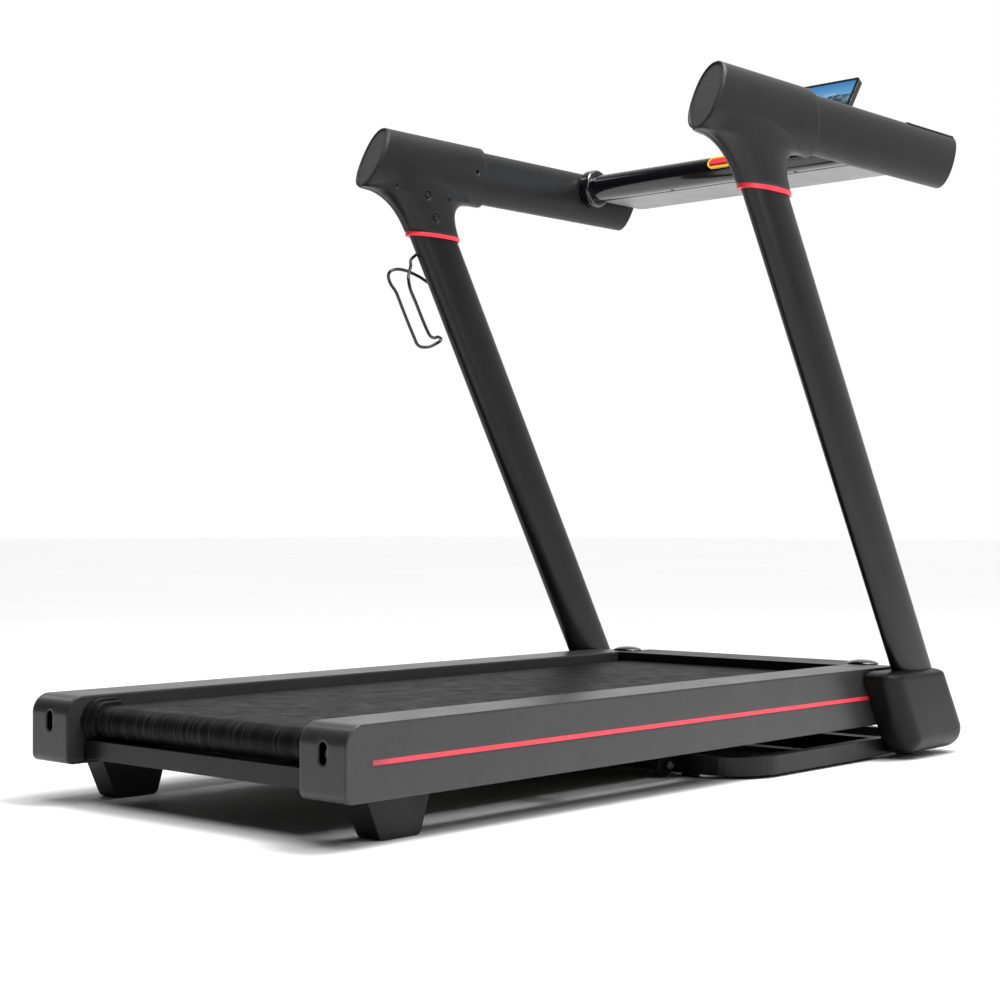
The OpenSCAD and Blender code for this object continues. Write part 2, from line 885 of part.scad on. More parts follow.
// Where the wire ends lie against the outer side of the upright: up along it, and back from its axis
cage_ends = [[98, 26], [37, 26.5]];

// Frame on the outer side of the left upright, with Z out of that side
module cage_side(e) {
    translate([-upright_x - upright_t / 2 + 1.4, lean_y(cage_z), cage_z]) rotate([lean, 0, 0])
        translate([0, -e[1], e[0]]) rotate([0, -90, 0]) children();
}

function spline(p, i, t) = let (
    a = p[max(i - 1, 0)], b = p[i], c = p[i + 1], d = p[min(i + 2, len(p) - 1)]
) 0.5 * (2 * b + (c - a) * t + (2 * a - 5 * b + 4 * c - d) * t * t
    + (3 * b - a - 3 * c + d) * t * t * t);

function unit(v) = v / norm(v);

module sweep(path, r, sides) {
    n = len(path);
    tangent = [for (i = [0:n - 1]) unit(path[min(i + 1, n - 1)] - path[max(i - 1, 0)])];
    first = unit(cross(tangent[0], [0.3, 0.2, 0.9]));
    normal = [
        for (i = 0, v = first; i < n;
            i = i + 1, v = i < n ? unit(v - (v * tangent[i]) * tangent[i]) : v) v
    ];
    points = [
        for (i = [0:n - 1], k = [0:sides - 1])
            let (a = 360 * k / sides)
            path[i] + r * (cos(a) * normal[i] + sin(a) * cross(tangent[i], normal[i]))
    ];
    faces = concat(
        [[for (k = [0:sides - 1]) k]],
        [[for (k = [sides - 1:-1:0]) (n - 1) * sides + k]],
        [for (i = [0:n - 2], k = [0:sides - 1]) let (m = (k + 1) % sides)
            [i * sides + k, (i + 1) * sides + k, (i + 1) * sides + m, i * sides + m]]
    );
    polyhedron(points, faces);
}

module bottle_cage() {
    steps = 3;
    route = [for (p = cage_route) [-p[2], -p[1], p[0]]];
    path = concat(
        [for (i = [0:len(route) - 2], s = [0:steps - 1]) spline(route, i, s / steps)],
        [route[len(route) - 1]]
    );
    color(BLACK) place() {
        translate([-upright_x - cage_out, lean_y(cage_z), cage_z]) rotate([lean, 0, 0])
            sweep(path, wire_r, 10);
        for (e = cage_ends) difference() {
            cage_side(e) translate([0, 0, -8]) cylinder(r = 9.5, h = cage_eye_t + 8);
            left() leaning_tube(upright_d / 2 + 0.02, upright_t / 2 + 0.02, 780, 1060);
        }
    }
}

// ---------- side rails ----------

function rail_points(inset) = concat(
    arc([rail_bottom_r, rail_z + rail_bottom_r], rail_bottom_r - inset, 270, 180, 8),
    arc([rail_top_r, rail_top - rail_top_r], rail_top_r - inset, 180, 90, 14),
    arc([pivot_y, rail_mid_z], rail_h / 2 - inset, 90, -90, 28)
);

module nose_region(shift) {
    dy = rail_h * tan(lean) / 2;
    along_x(0, deck_w) polygon([
        [nose_y + dy + shift, rail_z - 1], [nose_y - dy + shift, rail_top + 1],
        [pivot_y + 200, rail_top + 1], [pivot_y + 200, rail_z - 1]
    ]);
}

// Closed rail form with its hollow: open below, and open to the inside under the top lip
module rail_form() {
    difference() {
        along_x(rail_x0, rail_x1) polygon(rail_points(0));
        along_x(rail_x0 + rail_wall, rail_x1 - rail_wall) polygon(rail_points(rail_wall));
        block(rail_x0 - 1, rail_x0 + rail_wall + 1, 76, pivot_y + 1, rail_z + rail_wall, rail_top - rail_lip);
        rod_x(rail_x0 - 1, rail_x0 + rail_wall + 1, pivot_y, pivot_z, rail_h / 2 - 5);
        block(rail_x0 - 1, rail_x0 + rail_wall + 1, rear_roller_y - 12, 77, roller_z - 12, roller_z + 12);
        block(rail_x0 - 1, rail_x0 + rail_wall + 1, rear_bar_y - 0.5, 77, rear_bar_z0 - 0.5, rear_bar_z1 + 0.5);
        block(rail_x0 + 8, rail_x1 - 8, 190, pivot_y - 90, rail_z - 1, rail_z + rail_wall + 1);
    }
}

module side_rail() {
    color(CHARCOAL) difference() {
        rail_form();
        nose_region(-nose_join);
        block(rail_x1 - stripe_depth, rail_x1 + 1, stripe_y0, pivot_y, stripe_z - stripe_h / 2 - 0.1,
            stripe_z + stripe_h / 2 + 0.1);
        tension_slot();
    }
}

// Upright round-ended slot through the rail's rear end
module tension_slot() {
    x = (rail_x0 + rail_x1) / 2;
    d = (slot_h - slot_w) / 2;
    along_y(-1, rail_wall + 2) {
        for (s = [-1, 1]) translate([x, slot_z + s * d]) circle(slot_w / 2);
        translate([x - slot_w / 2, slot_z - d]) square([slot_w, 2 * d]);
    }
}

module side_rail_left() {
    place() left() side_rail();
}

module side_rail_right() {
    place() side_rail();
}

module rail_stripes() {
    color(RED) place() both() difference() {
        block(rail_x1 - stripe_depth, rail_x1 + stripe_proud, stripe_y0 + 0.2, pivot_y,
            stripe_z - stripe_h / 2, stripe_z + stripe_h / 2);
        nose_region(-nose_join - 12);
    }
}

module rail_nose_caps() {
    color(CHARCOAL) place() both() difference() {
        intersection() {
            rail_form();
            nose_region(0);
        }
        rod_x(rail_x1 - rail_wall - 1, rail_x1 + 1, pivot_y, pivot_z, pivot_r + free_gap);
    }
}

module tension_bolts() {
    x = (rail_x0 + rail_x1) / 2;
    color(STEEL) place() both() {
        translate([x, 10, roller_z]) rotate([-90, 0, 0]) difference() {
            cylinder(r = 7, h = 8);
            translate([0, 0, -1]) cylinder(r = 3.6, h = 6, $fn = 6);
        }
        translate([x, 18, roller_z]) rotate([-90, 0, 0]) cylinder(r = 4, h = rear_roller_y + 22 - 18);
    }
}

module rear_feet() {
    x1 = rail_x1 - 38;
    x0 = x1 - 46;
    color(BLACK) place() both() along_x(x0, x1) polygon(concat(
        [[200, rail_z], [73, rail_z]],
        arc([110, 12], 12, 200, 270, 6),
        arc([171, 12], 12, 270, 345, 6)
    ));
}

// ---------- deck ----------

module deck_frame() {
    color(BLACK) place() difference() {
        union() {
            both() {
                block(beam_x0, beam_x0 + beam_t, 78, pivot_y, beam_z0, beam_z1);
                intersection() {
                    rod_x(beam_x0, beam_x0 + beam_t, pivot_y, pivot_z, rail_h / 2 - 6.7);
                    block(beam_x0, beam_x0 + beam_t, pivot_y - 1, pivot_y + 60, beam_z0, beam_z1);
                }
                rod_x(boss_x0 - 1, boss_x1, pivot_y, pivot_z, boss_r);
                tension_block();
            }
            for (i = [0:member_count - 1]) {
                y = member_first + (member_last - member_first) * i / (member_count - 1);
                block(-beam_x0 - 1, beam_x0 + 1, y - member_l / 2, y + member_l / 2, member_z0, member_z1);
            }
            block(-beam_x0 - 1, beam_x0 + 1, strut_high[0] - 62, strut_high[0] - 32, rail_z + 6, rail_z + 30);
            for (s = [-1, 1]) block(strut_x + s * 8 - 2, strut_x + s * 8 + 2, strut_high[0] - 33,
                strut_high[0] + 9, strut_high[1] - 9, strut_high[1] + 9);
            block(-beam_x0 - 1, beam_x0 + 1, front_roller_y - 50, front_roller_y - 30,
                rail_z + 8, rail_z + 30);
            block(-hood_x, hood_x, motor_y - 30, motor_y + 26, rail_z + 8, rail_z + 12);
            block(-beam_x0 - 1, beam_x0 + 1, motor_y - 30, pivot_y + 14, rail_z + 8, rail_z + 12);
            block(-rail_x0 + 1, rail_x0 - 1, rear_bar_y, rear_bar_y + rear_bar_l, rear_bar_z0, rear_bar_z1);
            both() block(beam_x0 - 9, beam_x0 + beam_t, rear_bar_y, 90, rear_bar_z0, rear_bar_z1);
        }
        both() {
            rod_x(boss_x0 - 30, boss_x1 + 1, pivot_y, pivot_z, pivot_r + run_gap);
            rod_x(beam_x0 - 1, boss_x0 + 1, front_roller_y, roller_z, axle_r + 0.02);
        }
        for (i = [0:member_count - 1]) {
            y = member_first + (member_last - member_first) * i / (member_count - 1);
            block(-beam_x0 + 4, beam_x0 - 4, y - member_l / 2 + 2, y + member_l / 2 - 2,
                member_z0 + 2, member_z1 - 2);
        }
        both() block(beam_x0 + beam_wall, beam_x0 + beam_t - beam_wall, 90 + beam_wall,
            pivot_y - 56, beam_z0 + beam_wall, beam_z1 - beam_wall);
        block(-rail_x0 + 5, rail_x0 - 5, rear_bar_y + beam_wall, rear_bar_y + rear_bar_l - beam_wall,
            rear_bar_z0 + beam_wall, rear_bar_z1 - beam_wall);
    }
}

// Slide that carries the rear axle and is pulled back by the tension bolt
module tension_block() {
    x = (rail_x0 + rail_x1) / 2;
    difference() {
        block(beam_x0 + beam_t - 1, x + 12, rear_roller_y + 24, rear_roller_y + 44,
            roller_z - 14, roller_z + 14);
        translate([x, 0, roller_z]) rotate([-90, 0, 0]) cylinder(r = 4.02, h = 200);
    }
}

module deck_board() {
    color(BOARD) place()
        block(-belt_x - 10, belt_x + 10, rear_roller_y + roller_r + 14,
            front_roller_y - roller_r - 12, board_z0, board_z1);
}

module deck_cushions() {
    color([0.2, 0.2, 0.21]) place() for (i = [0:member_count - 1], x = [-belt_x + 30, belt_x - 30]) {
        y = member_first + (member_last - member_first) * i / (member_count - 1);
        translate([x, y, member_z1]) cylinder(r = cushion_r, h = cushion_t);
    }
}

module running_belt() {
    r = roller_r + run_gap;
    color(BLACK) place() along_x(-belt_x, belt_x)
        loop([rear_roller_y, roller_z], r, [front_roller_y, roller_z], r, belt_t - run_gap);
}

module roller(y, pulley) {
    color(STEEL) difference() {
        union() {
            rod_x(-belt_x - roller_end, belt_x + roller_end, y, roller_z, roller_r);
            if (pulley) {
                rod_x(belt_x, pulley_x0, y, roller_z, roller_r - 6);
                rod_x(pulley_x0, pulley_x0 + pulley_w, y, roller_z, roller_pulley_r);
            }
        }
        rod_x(-belt_x - 30, belt_x + 60, y, roller_z, axle_r + run_gap);
        if (!pulley) for (s = [-1, 1]) {
            x = s * (belt_x + roller_end);
            rod_x(min(x, x - s * 3), max(x, x - s * 3), y, roller_z, bearing_r);
        }
    }
}

module front_roller() {
    place() roller(front_roller_y, true);
}

module rear_roller() {
    place() roller(rear_roller_y, false);
}

module roller_axles() {
    x = (rail_x0 + rail_x1) / 2;
    color(STEEL) place() {
        rod_x(-beam_x0 - beam_t + 1, beam_x0 + beam_t - 1, front_roller_y, roller_z, axle_r);
        difference() {
            union() {
                rod_x(-x - 9, x + 9, rear_roller_y, roller_z, axle_r);
                both() rod_x(rail_x0 + rail_wall + 1, x - 6, rear_roller_y, roller_z, axle_r + 3);
            }
            both() translate([x, 0, roller_z]) rotate([-90, 0, 0]) cylinder(r = 4.02, h = 200);
        }
    }
}

// Moulded guard that closes the gap between the belt edge and a rail at the rear end
module roller_guards() {
    x0 = belt_x + roller_end + 1;
    x1 = rail_x0 - 0.4;
    step = x0 + (x1 - x0) * 0.45;
    back = 36;
    color(BLACK) place() both() difference() {
        union() {
            along_x(step, x1) guard_outline(back);
            along_x(x0, step + 0.01) guard_outline(back - 5);
        }
        rod_x(x0 - 1, x1 + 1, rear_roller_y, roller_z, axle_r + 0.1);
    }
}

module guard_outline(r) {
    z0 = max(roller_z - r, rear_bar_z1 + 0.4);
    intersection() {
        union() {
            translate([rear_roller_y, roller_z]) circle(r);
            translate([rear_roller_y, roller_z - r]) square([26, 2 * r]);
        }
        translate([0, z0]) square([200, rail_top - 4 - z0]);
    }
}

module motor_hood() {
    r = 22;
    color(BLACK) place() difference() {
        along_x(-hood_x, hood_x) hood_outline(0, r);
        along_x(-hood_x + hood_wall, hood_x - hood_wall) hood_outline(hood_wall, r - hood_wall);
        block(-hood_x - 1, hood_x + 1, hood_y0 - 1, hood_y1 - hood_wall - 14, 0, belt_top + 1.6);
        for (x = [-120:12:120]) block(x - 2.5, x + 2.5, hood_y1 - 10, hood_y1 + 1, rail_z + 26, rail_z + 48);
        block(inlet_x - 0.4, inlet_x + 42.4, hood_y1 - 10, hood_y1 + 1, rail_z + 24.6, rail_z + 51.4);
    }
}

module hood_outline(inset, r) {
    polygon(concat(
        [[hood_y0 + inset, rail_z + 4.6 + inset], [hood_y0 + inset, rail_top - inset]],
        arc([hood_y1 - inset - r, rail_top - inset - r], r, 90, 0, 8),
        [[hood_y1 - inset, rail_z + 4.6 - (inset > 0 ? 2 : 0)],
         [hood_y0 + inset, rail_z + 4.6 - (inset > 0 ? 2 : 0)]]
    ));
}

module hood_corner_caps() {
    color(BLACK) place() both() translate([rail_x0 + 16, pivot_y + 4, rail_top])
        intersection() {
            scale([1, 0.8, 0.27]) sphere(r = 32, $fn = 40);
            translate([-32, -22, 0]) cube([64, 44, 9]);
        }
}

module belly_pan() {
    color(BLACK) place() difference() {
        block(-hood_x + 4, hood_x - 4, front_roller_y - 26, hood_y1 - hood_wall - 1, rail_z + 1, rail_z + 4);
        for (y = [front_roller_y:14:hood_y1 - 24]) block(-180, -60, y, y + 6, rail_z, rail_z + 5);
    }
}

module motor() {
    color(SILVER) place() {
        rod_x(-30, 180, motor_y, motor_z + 0.5, motor_r);
        rod_x(-38, -30, motor_y, motor_z + 0.5, motor_r - 6);
        rod_x(180, 192, motor_y, motor_z + 0.5, motor_r - 4);
        for (x = [0, 150]) block(x - 12, x + 12, motor_y - 22, motor_y + 22, rail_z + 12, motor_z - 20);
    }
}

module motor_pulley() {
    color(STEEL) place() {
        rod_x(192 + free_gap, pulley_x0 + 0.1, motor_y, motor_z + 0.5, 6);
        rod_x(pulley_x0, pulley_x0 + pulley_w, motor_y, motor_z + 0.5, motor_pulley_r);
    }
}

module drive_belt() {
    color(BLACK) place() along_x(pulley_x0 + 1.5, pulley_x0 + pulley_w - 1.5)
        loop([front_roller_y, roller_z], roller_pulley_r + run_gap, [motor_y, motor_z + 0.5],
            motor_pulley_r + run_gap, drive_belt_t);
}

module motor_controller() {
    color(SILVER) place() difference() {
        block(-220, -70, motor_y - 28, motor_y + 30, rail_z + 12, rail_top - 26);
        for (x = [-214:10:-78]) block(x, x + 5, motor_y - 30, motor_y + 32, rail_top - 40, rail_top - 20);
    }
}

module power_inlet() {
    x = inlet_x;
    color(BLACK) place() difference() {
        union() {
            block(x, x + 42, hood_y1 - 22, hood_y1 - 1, rail_z + 25, rail_z + 51);
            block(x - 4, x + 46, hood_y1, hood_y1 + 2, rail_z + 22, rail_z + 54);
            block(x + 1, x + 41, hood_y1 - 2, hood_y1 + 1, rail_z + 26, rail_z + 50);
        }
        block(x + 5, x + 23, hood_y1 - 16, hood_y1 + 3, inlet_z - 8, inlet_z + 8);
        block(x + 28, x + 40, hood_y1 - 12, hood_y1 + 3, inlet_z - 9.8, inlet_z + 9.8);
        rod_x(x + 26.8, x + 41.2, hood_y1 - 2.4, inlet_z, rocker_pin_r + run_gap);
    }
}

module power_switch() {
    color(RED) place() translate([inlet_x + 28.6, hood_y1 - 2.4, inlet_z]) {
        along_x(0, 10.8) polygon([[-4, -6], [2, -8.2], [3.4, -7.8], [3.4, -2], [2.6, 0], [5.6, 7.4],
            [4.6, 8.2], [-2, 6]]);
        rod_x(-1.6, 12.4, 0, 0, rocker_pin_r);
    }
}

// ---------- folding strut ----------

// Frame of the strut: origin on its lower pin, X along the strut
module at_strut() {
    translate([strut_x, strut_low[0], strut_low[1]]) rotate([strut_angle, 0, 0])
        rotate([0, 0, 90]) children();
}

module strut_rod() {
    color(STEEL) place() at_strut() {
        difference() {
            union() {
                rotate([90, 0, 0]) cylinder(r = 8, h = 8, center = true);
                rotate([0, 90, 0]) cylinder(r = strut_rod_r, h = strut_l - 36);
            }
        }
        rotate([90, 0, 0]) cylinder(r = strut_pin_r, h = 26, center = true);
    }
}

module strut_cylinder() {
    color(BLACK) place() at_strut() difference() {
        union() {
            translate([strut_l - 24 - strut_tube_l, 0, 0]) rotate([0, 90, 0])
                cylinder(r = strut_tube_r, h = strut_tube_l);
            translate([strut_l, 0, 0]) rotate([90, 0, 0]) cylinder(r = 8.5, h = 8, center = true);
            translate([strut_l - 26, 0, 0]) rotate([0, 90, 0]) cylinder(r = 3.9, h = 20);
        }
        rotate([0, 90, 0]) cylinder(r = strut_rod_r + run_gap, h = strut_l - 30);
    }
}

base_frame();
base_feet();
boot_left();
boot_right();
upright_left();
upright_right();
pivot_brackets();
pivot_bolts();
neck_rings();
head_outer_left();
head_inner_left();
head_outer_right();
head_inner_right();
tube_end_caps();
button_screws();
handle_left();
handle_right();
handle_pads();
crossbar();
crossbar_collars();
console_tray();
tray_underplate();
display_bracket();
key_socket();
bottle_cage();
wheel_axles();
deck_frame();
side_rail_left();
side_rail_right();
rail_stripes();
rail_nose_caps();
motor_hood();
hood_corner_caps();
belly_pan();
deck_board();
deck_cushions();
running_belt();
roller_axles();
roller_guards();
rear_feet();
tension_bolts();
motor();
motor_controller();
drive_belt();
power_inlet();
front_roller();
rear_roller();
motor_pulley();
wheel_left();
wheel_right();
strut_rod();
strut_cylinder();
display_housing();
display_glass();
safety_key();
button_speed_up();
button_speed_down();
button_start();
button_stop();
power_switch();
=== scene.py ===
import bpy
import bmesh
import math
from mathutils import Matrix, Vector


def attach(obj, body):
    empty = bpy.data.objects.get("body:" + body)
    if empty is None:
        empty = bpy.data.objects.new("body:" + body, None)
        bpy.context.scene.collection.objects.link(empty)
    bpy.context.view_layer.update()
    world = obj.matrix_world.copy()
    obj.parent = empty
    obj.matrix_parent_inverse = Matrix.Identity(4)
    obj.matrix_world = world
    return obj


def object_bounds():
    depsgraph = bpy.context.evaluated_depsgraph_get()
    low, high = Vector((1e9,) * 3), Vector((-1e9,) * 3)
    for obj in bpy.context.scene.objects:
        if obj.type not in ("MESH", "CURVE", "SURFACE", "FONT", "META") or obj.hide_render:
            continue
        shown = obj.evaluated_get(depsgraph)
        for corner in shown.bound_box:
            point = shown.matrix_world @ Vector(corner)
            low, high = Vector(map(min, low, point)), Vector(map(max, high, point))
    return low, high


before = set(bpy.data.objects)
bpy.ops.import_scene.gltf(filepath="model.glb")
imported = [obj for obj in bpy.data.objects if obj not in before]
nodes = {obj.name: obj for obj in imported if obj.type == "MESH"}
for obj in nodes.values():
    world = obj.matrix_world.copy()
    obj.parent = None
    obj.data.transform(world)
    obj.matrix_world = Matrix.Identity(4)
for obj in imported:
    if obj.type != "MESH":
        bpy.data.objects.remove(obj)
cad_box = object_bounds()
rear_y = cad_box[0][1]
sc = bpy.context.scene

# ---------------------------------------------------------------- materials


class Graph:
    """Small helper round a material's node tree."""

    def __init__(self, name):
        self.mat = bpy.data.materials.new(name)
        self.mat.use_nodes = True
        self.nt = self.mat.node_tree
        self.bsdf = self.nt.nodes["Principled BSDF"]
        self.coord = self.add("ShaderNodeTexCoord")

    def add(self, kind, **values):
        n = self.nt.nodes.new(kind)
        for k, v in values.items():
            setattr(n, k, v)
        return n

    def link(self, a, b):
        self.nt.links.new(a, b)

    def value(self, socket, v):
        if isinstance(v, bpy.types.NodeSocket):
            self.link(v, socket)
        else:
            socket.default_value = v

    def noise(self, scale, detail=3.0, rough=0.55, stretch=(1, 1, 1), vector=None):
        m = self.add("ShaderNodeMapping")
        m.inputs["Scale"].default_value = stretch
        self.link(vector or self.coord.outputs["Object"], m.inputs["Vector"])
        n = self.add("ShaderNodeTexNoise")
        n.inputs["Scale"].default_value = scale
        n.inputs["Detail"].default_value = detail
        n.inputs["Roughness"].default_value = rough
        self.link(m.outputs["Vector"], n.inputs["Vector"])
        return n.outputs["Fac"]

    def ramp(self, fac, lo, hi, a=0.3, b=0.7):
        """Maps fac from a..b to lo..hi, which may be numbers or colours."""
        if isinstance(lo, (int, float)):
            n = self.add("ShaderNodeMapRange", clamp=True)
            n.inputs["From Min"].default_value = a
            n.inputs["From Max"].default_value = b
            n.inputs["To Min"].default_value = lo
            n.inputs["To Max"].default_value = hi
            self.link(fac, n.inputs["Value"])
            return n.outputs["Result"]
        n = self.add("ShaderNodeValToRGB")
        n.color_ramp.elements[0].position = a
        n.color_ramp.elements[0].color = (*lo, 1)
        n.color_ramp.elements[1].position = b
        n.color_ramp.elements[1].color = (*hi, 1)
        self.link(fac, n.inputs["Fac"])
        return n.outputs["Color"]

    def math(self, op, a, b=0.0, c=0.0):
        n = self.add("ShaderNodeMath", operation=op)
        for s, v in zip(n.inputs, (a, b, c)):
            self.value(s, v)
        return n.outputs[0]

    def mix(self, fac, a, b):
        n = self.add("ShaderNodeMix", data_type="RGBA")
        self.value(n.inputs[0], fac)
        for s, v in ((n.inputs[6], a), (n.inputs[7], b)):
            self.value(s, (*v, 1) if isinstance(v, tuple) and len(v) == 3 else v)
        return n.outputs[2]

    def axis(self, i):
        n = self.add("ShaderNodeSeparateXYZ")
        self.link(self.coord.outputs["Object"], n.inputs[0])
        return n.outputs[i]

    def bump(self, height, strength, distance, edge=0.0):
        n = self.add("ShaderNodeBump")
        n.inputs["Strength"].default_value = strength
        n.inputs["Distance"].default_value = distance
        self.link(height, n.inputs["Height"])
        if edge:
            b = self.add("ShaderNodeBevel", samples=6)
            b.inputs["Radius"].default_value = edge
            self.link(b.outputs["Normal"], n.inputs["Normal"])
        self.link(n.outputs["Normal"], self.bsdf.inputs["Normal"])
        return n


def scaled(c, k):
    return tuple(min(1.0, v * k) for v in c)


def moulded(name, base, rough, grain=900, grain_depth=0.00004, spec=0.5, coat=0.0, coat_rough=0.15,
            vary=0.12, metallic=0.0, edge=0.0012, wear_and_sheen=1.9):
    """Moulded plastic or powder coat: soft blotches in colour and gloss, a fine grain, rubbed edges."""
    g = Graph(name)
    colour = g.ramp(g.noise(6, 4), scaled(base, 1 - vary), scaled(base, 1 + vary))
    geo = g.add("ShaderNodeNewGeometry")
    rub = g.ramp(geo.outputs["Pointiness"], 0.0, 0.35, 0.52, 0.62)
    scuff = g.math("MULTIPLY", rub, g.ramp(g.noise(70, 3), 0.2, 1.0))
    speck = g.ramp(g.noise(grain * 1.7, 2), 0.0, 0.25, 0.56, 0.7)
    colour = g.mix(speck, colour, scaled(base, 1.5))
    g.link(g.mix(scuff, colour, scaled(base, wear_and_sheen)), g.bsdf.inputs["Base Color"])
    g.link(g.ramp(g.noise(14, 5), rough * 0.88, rough * 1.12), g.bsdf.inputs["Roughness"])
    g.bsdf.inputs["Specular IOR Level"].default_value = spec
    g.bsdf.inputs["Metallic"].default_value = metallic
    g.bsdf.inputs["Coat Weight"].default_value = coat
    g.bsdf.inputs["Coat Roughness"].default_value = coat_rough
    g.bump(g.noise(grain, 2, 0.6), 0.35, grain_depth, edge)
    return g.mat


def turned(name, base, rough):
    """Turned or drawn steel: fine rings along X with faint wear."""
    g = Graph(name)
    rings = g.noise(900, 2, 0.6, (1, 0.03, 0.03))
    g.link(g.ramp(rings, scaled(base, 0.8), scaled(base, 1.1)), g.bsdf.inputs["Base Color"])
    g.link(g.ramp(g.noise(40, 4), rough * 0.8, rough * 1.25), g.bsdf.inputs["Roughness"])
    g.bsdf.inputs["Metallic"].default_value = 1.0
    g.bump(rings, 0.2, 0.00002, 0.0006)
    return g.mat


def wood(name):
    """Board: long fibres along Y, with a low sheen."""
    g = Graph(name)
    fibre = g.noise(60, 5, 0.6, (1, 0.05, 1))
    g.link(g.ramp(fibre, (0.16, 0.10, 0.055), (0.34, 0.23, 0.13)), g.bsdf.inputs["Base Color"])
    g.link(g.ramp(g.noise(25, 3), 0.35, 0.55), g.bsdf.inputs["Roughness"])
    g.bump(fibre, 0.3, 0.0001, 0.001)
    return g.mat


def belt():
    """Rubber running surface: fine woven grain with pale specks, and a painted sheen of lighter streaks
    round the rear roller.
    """
    wrap_start, wrap_end = rear_y + 0.045, rear_y + 0.085
    g = Graph("belt_rubber")
    base = g.ramp(g.noise(5, 4), (0.0028, 0.0028, 0.003), (0.0045, 0.0045, 0.0048))
    speck = g.ramp(g.noise(1100, 2, 0.7), 0.0, 0.6, 0.55, 0.75)
    base = g.mix(speck, base, (0.016, 0.016, 0.017))
    # Painted sheen: lighter streaks painted only where the belt bends round the rear roller
    wrap = g.ramp(g.axis(1), 1.0, 0.0, wrap_start, wrap_end)
    sheen_streak = g.ramp(g.noise(240, 4, 0.7, (1, 0.03, 0.03)), 0.0, 0.8, 0.5, 0.72)
    wear_and_sheen = g.math("MULTIPLY", wrap, sheen_streak)
    g.link(g.mix(wear_and_sheen, base, (0.050, 0.050, 0.052)), g.bsdf.inputs["Base Color"])
    g.link(g.ramp(g.noise(30, 4), 0.42, 0.56), g.bsdf.inputs["Roughness"])
    g.bsdf.inputs["Specular IOR Level"].default_value = 0.07
    g.bump(g.noise(1500, 2, 0.6), 0.5, 0.00008)
    return g.mat


def stripe():
    """Red trim line whose first few centimetres are a diagonal hatch that thickens into the solid line."""
    stripe_start, pitch, hatch_length = 0.049, 0.0036, 0.034
    g = Graph("stripe_red")
    y = g.math("SUBTRACT", g.axis(1), rear_y + stripe_start)
    slant = g.math("ADD", y, g.math("MULTIPLY", g.axis(2), 0.6))
    wave = g.math("SINE", g.math("MULTIPLY", slant, 2 * math.pi / pitch))
    level = g.ramp(y, 0.35, -1.05, 0.0, hatch_length)
    on = g.math("GREATER_THAN", wave, level)
    red = g.ramp(g.noise(40, 3), (0.74, 0.035, 0.060), (0.84, 0.045, 0.075))
    grey = g.ramp(g.noise(40, 3), (0.045, 0.045, 0.047), (0.055, 0.055, 0.057))
    g.link(g.mix(on, grey, red), g.bsdf.inputs["Base Color"])
    g.link(g.ramp(g.noise(60, 3), 0.3, 0.42), g.bsdf.inputs["Roughness"])
    g.bump(g.noise(800, 2), 0.2, 0.00003)
    return g.mat


def screen():
    """Lit screen: sky with clouds over two mountain ridges and a lake."""
    shore, half_width, margin, soft_edge = 0.48, 0.1285, 0.035, 0.002
    g = Graph("screen_lit")
    pts = [Vector(v.co) for v in nodes["display_glass"].data.vertices]
    z0, z1 = min(p.z for p in pts), max(p.z for p in pts)
    v = g.ramp(g.axis(2), 0.0, 1.0, z0, z1)
    sky = g.ramp(v, (0.30, 0.66, 0.90), (0.01, 0.22, 0.62), 0.55, 1.0)
    cloud = g.ramp(g.noise(14, 6, 0.62, (1, 1, 2.4)), 0.0, 0.9, 0.55, 0.74)
    sky = g.mix(cloud, sky, (0.95, 0.97, 1.0))
    far = g.math("ADD", 0.56, g.math("MULTIPLY", g.noise(9, 5, 0.55, (1, 0, 0)), 0.34))
    near = g.math("ADD", 0.40, g.math("MULTIPLY", g.noise(16, 5, 0.6, (1, 0, 0)), 0.34))
    rock = g.ramp(g.noise(60, 5, 0.7), (0.01, 0.035, 0.07), (0.25, 0.38, 0.5), 0.45, 0.66)
    forest = g.ramp(g.noise(120, 4, 0.7), (0.01, 0.05, 0.03), (0.06, 0.16, 0.07))
    lake = g.ramp(g.noise(40, 4, 0.6, (0.5, 1, 5)), (0.005, 0.09, 0.20), (0.10, 0.42, 0.60))
    picture = g.mix(g.math("LESS_THAN", v, far), sky, rock)
    picture = g.mix(g.math("LESS_THAN", v, near), picture, forest)
    picture = g.mix(g.math("LESS_THAN", v, shore), picture, lake)
    sides = g.ramp(g.math("ABSOLUTE", g.axis(0)), 1.0, 0.0, half_width, half_width + 0.0002)
    foot = g.ramp(v, 0.0, 1.0, margin, margin + soft_edge)
    head = g.ramp(v, 1.0, 0.0, 1 - margin, 1 - margin + soft_edge)
    border = g.math("MULTIPLY", sides, g.math("MULTIPLY", foot, head))
    g.link(g.mix(border, (0.0, 0.0, 0.0), picture), g.bsdf.inputs["Emission Color"])
    g.bsdf.inputs["Emission Strength"].default_value = 0.75
    g.link(g.ramp(g.noise(8, 2), (0.004, 0.004, 0.005), (0.006, 0.006, 0.007)), g.bsdf.inputs["Base Color"])
    g.link(g.ramp(g.noise(20, 3), 0.06, 0.11), g.bsdf.inputs["Roughness"])
    return g.mat


